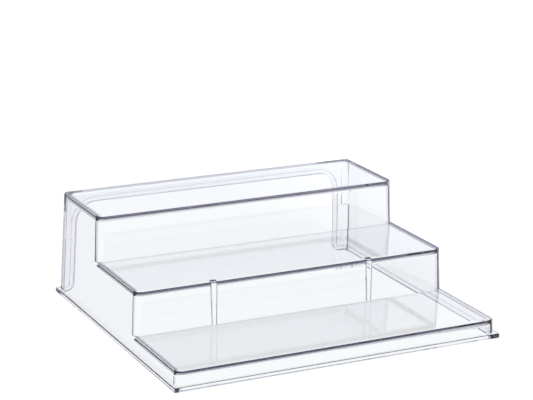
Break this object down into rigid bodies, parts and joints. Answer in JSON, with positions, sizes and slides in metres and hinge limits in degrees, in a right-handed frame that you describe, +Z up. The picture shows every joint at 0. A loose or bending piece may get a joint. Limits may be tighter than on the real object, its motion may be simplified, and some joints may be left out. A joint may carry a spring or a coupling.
{
  "type": "tiered shelf riser",
  "caption": "Clear one-piece stepped shelf riser with flat decks, drafted walls, a beaded base rim and an arched opening at the back.",
  "frame": {"origin": "centre of the base on the surface it stands on, in the middle of its bounding box", "axes": "+X to the right across the width, seen from the front; the front faces -Y and the tall end is at +Y; +Z up"},
  "size_m": [0.2712, 0.2426, 0.0847],
  "materials": {
    "clear_plastic": "polished, water clear"
  },
  "bodies": {
    "root": {"top_deck": "clear_plastic", "upper_riser": "clear_plastic", "middle_deck": "clear_plastic", "lower_riser": "clear_plastic", "bottom_deck": "clear_plastic", "front_face": "clear_plastic", "back_wall": "clear_plastic", "base_rim_front": "clear_plastic", "left_side_rear": "clear_plastic", "right_side_rear": "clear_plastic", "left_side_middle": "clear_plastic", "right_side_middle": "clear_plastic", "left_side_front": "clear_plastic", "right_side_front": "clear_plastic", "back_left_corner": "clear_plastic", "back_right_corner": "clear_plastic", "base_rim_left": "clear_plastic", "base_rim_right": "clear_plastic", "base_rim_back_left": "clear_plastic", "base_rim_back_right": "clear_plastic", "arch_lip": "clear_plastic", "front_left_rib": "clear_plastic", "front_right_rib": "clear_plastic"}
  },
  "joints": []
}
